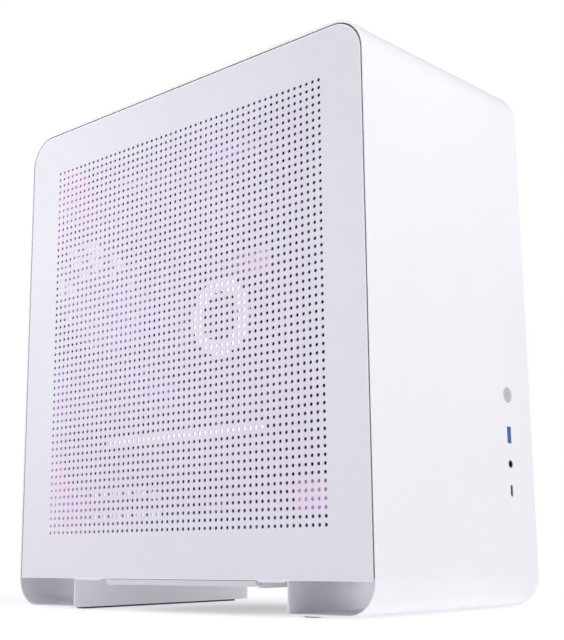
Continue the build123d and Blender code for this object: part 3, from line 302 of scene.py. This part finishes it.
class Piece:
    """Collects small shapes in one mesh, then puts it on a body."""

    def __init__(self, name):
        self.name = name
        self.bm = bmesh.new()
        self.looks = []

    def paint(self, look, start):
        if look not in self.looks:
            self.looks.append(look)
        self.bm.faces.ensure_lookup_table()
        for face in self.bm.faces[start:]:
            face.material_index = self.looks.index(look)

    def block(self, x0, x1, y0, y1, z0, z1, look):
        start = len(self.bm.faces)
        made = bmesh.ops.create_cube(self.bm, size=1.0)["verts"]
        for vert in made:
            vert.co = Vector((
                (x0 + x1) / 2 + vert.co.x * (x1 - x0),
                (y0 + y1) / 2 + vert.co.y * (y1 - y0),
                (z0 + z1) / 2 + vert.co.z * (z1 - z0),
            ))
        self.paint(look, start)

    def rod(self, at, axis, radius, length, look, sides=20, tip=None):
        """Rod from a point along an axis; tip is the radius at the far end."""
        start = len(self.bm.faces)
        made = bmesh.ops.create_cone(
            self.bm, cap_ends=True, segments=sides, radius1=radius,
            radius2=radius if tip is None else tip, depth=length,
        )["verts"]
        turn = Vector((0, 0, 1)).rotation_difference(Vector(axis)).to_matrix()
        middle = Vector(at) + Vector(axis).normalized() * length / 2
        for vert in made:
            vert.co = turn @ vert.co + middle
        self.paint(look, start)

    def tube(self, path, radius, look, closed=False, sides=8):
        """Round bar along a path that lies in a plane square to X."""
        start = len(self.bm.faces)
        rings = []
        count = len(path)
        for i, point in enumerate(path):
            before = path[(i - 1) % count] if closed or i > 0 else point
            after = path[(i + 1) % count] if closed or i < count - 1 else point
            along = (Vector(after) - Vector(before)).normalized()
            across = along.cross(Vector((1, 0, 0)))
            ring = []
            for k in range(sides):
                turn = 2 * math.pi * k / sides
                offset = across * math.cos(turn) + Vector((1, 0, 0)) * math.sin(turn)
                ring.append(self.bm.verts.new(Vector(point) + offset * radius))
            rings.append(ring)
        for i in range(count if closed else count - 1):
            one, two = rings[i], rings[(i + 1) % count]
            for k in range(sides):
                self.bm.faces.new((one[k], one[(k + 1) % sides], two[(k + 1) % sides], two[k]))
        if not closed:
            self.bm.faces.new(rings[0])
            self.bm.faces.new(list(reversed(rings[-1])))
        self.paint(look, start)

    def done(self, body, bevel=0.0, smooth=True):
        bmesh.ops.recalc_face_normals(self.bm, faces=self.bm.faces)
        mesh = bpy.data.meshes.new(self.name)
        self.bm.to_mesh(mesh)
        self.bm.free()
        for look in self.looks:
            mesh.materials.append(look)
        obj = bpy.data.objects.new(self.name, mesh)
        bpy.context.collection.objects.link(obj)
        if smooth:
            for polygon in mesh.polygons:
                polygon.use_smooth = True
        if bevel:
            rounding = obj.modifiers.new("rounding", "BEVEL")
            rounding.width = bevel
            rounding.segments = 2
            rounding.limit_method = "ANGLE"
            rounding.harden_normals = True
        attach(obj, body)
        return obj


def arc(y, z, radius, start, end, x, steps=14):
    """Points of an arc square to X; angles in degrees from +Y towards +Z."""
    angles = [math.radians(start + (end - start) * k / steps) for k in range(steps + 1)]
    return [(x, y + radius * math.cos(a), z + radius * math.sin(a)) for a in angles]


# the hems are a brighter white than the shell and panels they edge: a painted highlight along their rounded
# edges
HEM_HIGHLIGHT = coated("hem_white_painted_highlight", (0.93, 0.93, 0.955), 0.3, 1500.0, 0.00002, 0.01)
CHIP = coated("chip_black", (0.018, 0.018, 0.02), 0.4, 1200.0, 0.00005, 0.12)
CAN = brushed("can_alu", (0.72, 0.73, 0.76), 0.3)
GOLD = brushed("contact_gold", (0.80, 0.60, 0.28), 0.3)
# dark colour for recesses: what is drawn with it is painted shade, flat marks where a recess would lie in
# shade
RECESS_SHADE = coated("recess_painted_shade", (0.06, 0.06, 0.066), 0.6, 900.0, 0.00005, 0.1)
LABEL = coated("plain_label", (0.62, 0.62, 0.64), 0.55, 700.0, 0.00003, 0.05)

shell_low, shell_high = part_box("outer_shell")
TOP_R, FOOT_R, SHEET = 28 * MM, 24.5 * MM, 1.5 * MM
half_depth = shell_high[1]
foot_wall = half_depth - 79 * MM
foot_low = shell_low[2]
roof = shell_high[2]


def body_outline(inset, x):
    """Outer line of the sheet seen from the side, from foot wall to foot wall over the roof."""
    half, top_r, foot_r = half_depth - inset, TOP_R - inset, FOOT_R - inset
    path = [(x, -foot_wall - inset, shell_low[2] + 22 * MM), (x, -foot_wall - inset, foot_low + inset)]
    path += arc(-half + foot_r, foot_low + inset + foot_r, foot_r, -90, -180, x)
    path += arc(-half + top_r, roof - inset - top_r, top_r, 180, 90, x)
    path += arc(half - top_r, roof - inset - top_r, top_r, 90, 0, x)
    path += arc(half - foot_r, foot_low + inset + foot_r, foot_r, 0, -90, x)
    path += [(x, foot_wall + inset, foot_low + inset), (x, foot_wall + inset, shell_low[2] + 22 * MM)]
    return path


# rounded hems along the shell's two side edges, in the brighter hem white that paints a highlight on them
for name, x in (("shell_hem_left", shell_low[0] + 0.35 * MM), ("shell_hem_right", shell_high[0] - 0.35 * MM)):
    hem = Piece(name)
    hem.tube(body_outline(SHEET / 2, x), 0.82 * MM, HEM_HIGHLIGHT)
    hem.done("case")

# folded edge round the two side panels, in the brighter hem white that paints a highlight on it
for node, x_side in (("left_panel", 0), ("right_panel", 1)):
    low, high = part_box("left_panel")
    x = (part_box(node)[x_side][0]) + (0.3 * MM if x_side == 0 else -0.3 * MM)
    inset = 0.25 * MM
    radius = TOP_R - 2.9 * MM
    path = [(x, low[1] + inset, low[2] + inset)]
    path += arc(low[1] + radius + inset, high[2] - radius - inset, radius, 180, 90, x)
    path += arc(high[1] - radius - inset, high[2] - radius - inset, radius, 90, 0, x)
    path += [(x, high[1] - inset, low[2] + inset)]
    edge = Piece(node + "_folded_edge")
    edge.tube(path, 0.5 * MM, HEM_HIGHLIGHT, closed=True)
    edge.done(node)

# woven net of the dust filter
low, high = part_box("filter_mesh")
net = Piece("filter_net_weave")
NET = MATERIALS["filter_net"]
net_z = (low[2] + high[2]) / 2
strands = int((high[0] - low[0]) / (2.0 * MM))
for k in range(strands + 1):
    x = low[0] + (high[0] - low[0]) * k / strands
    net.block(x - 0.15 * MM, x + 0.15 * MM, low[1], high[1], net_z, net_z + 0.2 * MM, NET)
strands = int((high[1] - low[1]) / (2.0 * MM))
for k in range(strands + 1):
    y = low[1] + (high[1] - low[1]) * k / strands
    net.block(low[0], high[0], y - 0.15 * MM, y + 0.15 * MM, net_z - 0.2 * MM, net_z, NET)
net_object = net.done("dust_filter", smooth=False)
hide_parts("filter_mesh")

# small parts on the motherboard
low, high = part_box("motherboard")
face = low[0]
parts = Piece("board_components")
for k in range(9):                                  # chokes and capacitors beside the processor
    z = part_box("cpu_socket")[0][2] - 6 * MM + k * 9.5 * MM
    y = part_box("cpu_socket")[1][1] + 8 * MM
    parts.block(face - 5 * MM, face, y, y + 7 * MM, z, z + 7 * MM, CHIP)
    parts.rod((face, y + 13 * MM, z + 3.5 * MM), (-1, 0, 0), 2.6 * MM, 6 * MM, CAN)
for k in range(6):                                  # small packages low on the board
    y = low[1] + (24 + 33 * k) * MM
    parts.block(face - 1.4 * MM, face, y, y + 9 * MM, low[2] + 14 * MM, low[2] + 21 * MM, CHIP)
    for n in range(5):
        z = low[2] + (25 + 3 * n) * MM
        parts.block(face - 0.7 * MM, face, y + 1 * MM, y + 3 * MM, z, z + 1.2 * MM, CAN)
parts.rod((face, low[1] + 172 * MM, low[2] + 62 * MM), (-1, 0, 0), 10 * MM, 3.2 * MM, CAN, sides=36)
for k in range(7):
    parts.rod((face, high[1] - 62 * MM, low[2] + (24 + 9 * k) * MM), (-1, 0, 0), 3.1 * MM, 7 * MM, CAN)
parts.done("case", bevel=0.3 * MM)

# folded fins between the radiator's tubes
low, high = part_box("radiator")
fins = Piece("radiator_fins")
columns = 12
for k in range(columns):
    x = low[0] + 6 * MM + (high[0] - low[0] - 12 * MM) * (k + 0.5) / columns
    for n in range(58):
        y = low[1] + 22 * MM + n * 4.0 * MM
        fins.block(x - 3.0 * MM, x + 3.0 * MM, y, y + 0.25 * MM, low[2] + 9.6 * MM, low[2] + 17 * MM, CAN)
        fins.block(
            x - 3.0 * MM, x + 3.0 * MM, y + 2 * MM, y + 2.25 * MM, high[2] - 7 * MM, high[2] - 1 * MM, CAN,
        )
fins.done("case", smooth=False)

# round labels with a dark middle on what turns, and dark crosses on what is screwed down; both dark marks are
# painted shade of recesses, flat on the surface
for node, axis in (
    ("rear_fan_frame", (0, 1, 0)), ("top_fan_front_frame", (0, 0, -1)),
    ("top_fan_rear_frame", (0, 0, -1)), ("bottom_fan_frame", (0, 0, -1)),
):
    low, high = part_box(node)
    direction = Vector(axis)
    centre = place(node)
    half = max(abs(direction.dot(high - centre)), abs(direction.dot(low - centre)))
    disc = Piece(node.replace("_frame", "_label"))
    disc.rod(centre + direction * (half - 0.02 * MM), axis, 17 * MM, 0.15 * MM, LABEL, sides=40)
    disc.rod(centre + direction * (half + 0.1 * MM), axis, 7 * MM, 0.1 * MM, RECESS_SHADE, sides=30)
    disc.done("case")

# flat dark crosses on the rear: painted shade of the screws' cross recesses
recess_shade = Piece("screw_recess_shade")
back = shell_high[1]
fan_low, fan_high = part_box("rear_fan_frame")
fan_mid = place("rear_fan_frame")
spots = [(fan_mid.x + sx * 52.5 * MM, fan_mid.z + sz * 52.5 * MM) for sx in (-1, 1) for sz in (-1, 1)]
bracket_low, bracket_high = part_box("gpu_bracket")
cover_low, cover_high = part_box("slot_covers")
for k in range(7):
    spots.append((bracket_low[0] + 5 * MM, bracket_high[2] - 9.2 * MM - k * 20.32 * MM))
for x, z in spots:
    for half_x, half_z in ((1.9, 0.4), (0.4, 1.9)):
        recess_shade.block(
            x - half_x * MM, x + half_x * MM, back - 0.02 * MM, back + 0.04 * MM,
            z - half_z * MM, z + half_z * MM, RECESS_SHADE,
        )
recess_shade.done("case", smooth=False)

# gold contacts on the tongue inside the front USB-A socket
contacts = Piece("socket_contacts")
low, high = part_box("usb_a_tongue")
for k in range(4):
    z = low[2] + (high[2] - low[2]) * (k + 0.9) / 4.8
    contacts.block(
        low[0] - 0.02 * MM, low[0] + 0.1 * MM, low[1] + 1 * MM, low[1] + 8 * MM,
        z - 0.5 * MM, z + 0.5 * MM, GOLD,
    )
contacts.done("case", smooth=False)


# ---- camera: 75 cm off the front left corner, just above the floor, looking up --------------------------
CAMERA_AT = Vector((-0.7153, -0.6752, 0.0452))
AZIMUTH, ELEVATION, ROLL = math.radians(42.351), math.radians(11.342), math.radians(-0.603)
forward = Vector((
    math.cos(ELEVATION) * math.cos(AZIMUTH), math.cos(ELEVATION) * math.sin(AZIMUTH), math.sin(ELEVATION)
))
level = forward.cross(Vector((0, 0, 1))).normalized()
upright = level.cross(forward)
right = math.cos(ROLL) * level + math.sin(ROLL) * upright
up = math.cos(ROLL) * upright - math.sin(ROLL) * level
camera_data = bpy.data.cameras.new("camera")
camera_data.sensor_width = 36.0
camera_data.lens = 64.96
camera = bpy.data.objects.new("camera", camera_data)
bpy.context.collection.objects.link(camera)
camera.matrix_world = Matrix((
    (right.x, up.x, -forward.x, CAMERA_AT.x),
    (right.y, up.y, -forward.y, CAMERA_AT.y),
    (right.z, up.z, -forward.z, CAMERA_AT.z),
    (0, 0, 0, 1),
))
bpy.context.scene.camera = camera

# ---- studio: pale floor, white surround, soft lights ------------------------------------------------------
scene = bpy.context.scene
scene.view_settings.view_transform = "Standard"
SURROUND = 0.50        # how strongly the white surround lights the object
world = bpy.data.worlds.new("studio")
world.use_nodes = True
world_nodes = world.node_tree.nodes
lit = world_nodes["Background"]
lit.inputs["Color"].default_value = (0.97, 0.97, 1.0, 1)
lit.inputs["Strength"].default_value = SURROUND
seen = world_nodes.new("ShaderNodeBackground")
seen.inputs["Color"].default_value = (1, 1, 1, 1)
paths = world_nodes.new("ShaderNodeLightPath")
either = world_nodes.new("ShaderNodeMixShader")
world.node_tree.links.new(paths.outputs["Is Camera Ray"], either.inputs[0])
world.node_tree.links.new(lit.outputs[0], either.inputs[1])
world.node_tree.links.new(seen.outputs[0], either.inputs[2])
world.node_tree.links.new(either.outputs[0], world_nodes["World Output"].inputs["Surface"])
scene.world = world

floor_mesh = bpy.data.meshes.new("floor")
floor_mesh.from_pydata([(-9, -9, 0), (9, -9, 0), (9, 9, 0), (-9, 9, 0)], [], [(0, 1, 2, 3)])
floor = bpy.data.objects.new("floor", floor_mesh)
bpy.context.collection.objects.link(floor)
floor_look = Graph("floor")
floor_shader = floor_look.add("ShaderNodeBsdfPrincipled")
floor_look.put(
    floor_shader.inputs["Base Color"],
    floor_look.ramp(floor_look.noise(2.0), 0.3, 0.7, (0.90, 0.90, 0.90, 1), (0.92, 0.92, 0.92, 1)),
)
floor_shader.inputs["Roughness"].default_value = 0.9
floor_shader.inputs["Emission Color"].default_value = (1, 1, 1, 1)
floor_reach = floor_look.add("ShaderNodeVectorMath", operation="LENGTH")
floor_look.put(floor_reach.inputs[0], floor_look.coords)
floor_glow = floor_look.add("ShaderNodeMapRange", clamp=True)
floor_look.put(floor_glow.inputs["Value"], floor_reach.outputs["Value"])
# the floor glows more with distance, so that it runs into the white surround without an edge
FLOOR_GLOW = (("From Min", 0.4), ("From Max", 1.6), ("To Min", 0.37), ("To Max", 0.62))
for socket, number in FLOOR_GLOW:
    floor_glow.inputs[socket].default_value = number
floor_look.put(floor_shader.inputs["Emission Strength"], floor_glow.outputs["Result"])
floor_mesh.materials.append(floor_look.finish(floor_shader))


def soft_light(name, place, target, size, power, colour=(1, 1, 1)):
    data = bpy.data.lights.new(name, "AREA")
    data.shape = "DISK"
    data.size = size
    data.energy = power
    data.color = colour
    lamp = bpy.data.objects.new(name, data)
    bpy.context.collection.objects.link(lamp)
    lamp.location = place
    lamp.rotation_euler = (Vector(target) - Vector(place)).to_track_quat("-Z", "Y").to_euler()
    return lamp


soft_light("front_top", (0.3, -2.0, 1.9), (0, -0.2, 0.25), 1.4, 15.5)
soft_light("front_near", (-0.1, -0.7, 0.8), (-0.05, -0.2, 0.35), 0.5, 1.15)
soft_light("left_rear", (-0.75, 0.75, 0.55), (-0.1, 0.1, 0.25), 0.5, 2.8)


def bare_bulb(name, place, power, colour=(1, 1, 1)):
    """Point light of no size, so it is never seen itself."""
    data = bpy.data.lights.new(name, "POINT")
    data.energy = power
    data.color = colour
    data.shadow_soft_size = 0.0
    lamp = bpy.data.objects.new(name, data)
    lamp.location = place
    bpy.context.collection.objects.link(lamp)


bare_bulb("front_foot_fill", (-0.01, -0.155, 0.016), 0.011)
bare_bulb("rear_foot_fill", (-0.01, 0.155, 0.016), 0.02)

# the light strips and rotors inside glow violet towards the front and pink towards the rear
VIOLET, PINK = (0.55, 0.16, 1.0), (1.0, 0.28, 0.85)
for name, place_at, power, colour in (
    ("glow_front_high", (-0.06, -0.07, 0.34), 0.10, VIOLET),
    ("glow_front_low", (-0.06, -0.14, 0.15), 0.06, VIOLET),
    ("glow_middle", (-0.07, 0.02, 0.22), 0.09, VIOLET),
    ("glow_rear_high", (-0.07, 0.12, 0.34), 0.07, PINK),
    ("glow_rear_low", (-0.07, 0.14, 0.09), 0.06, PINK),
):
    bare_bulb(name, place_at, power, colour)
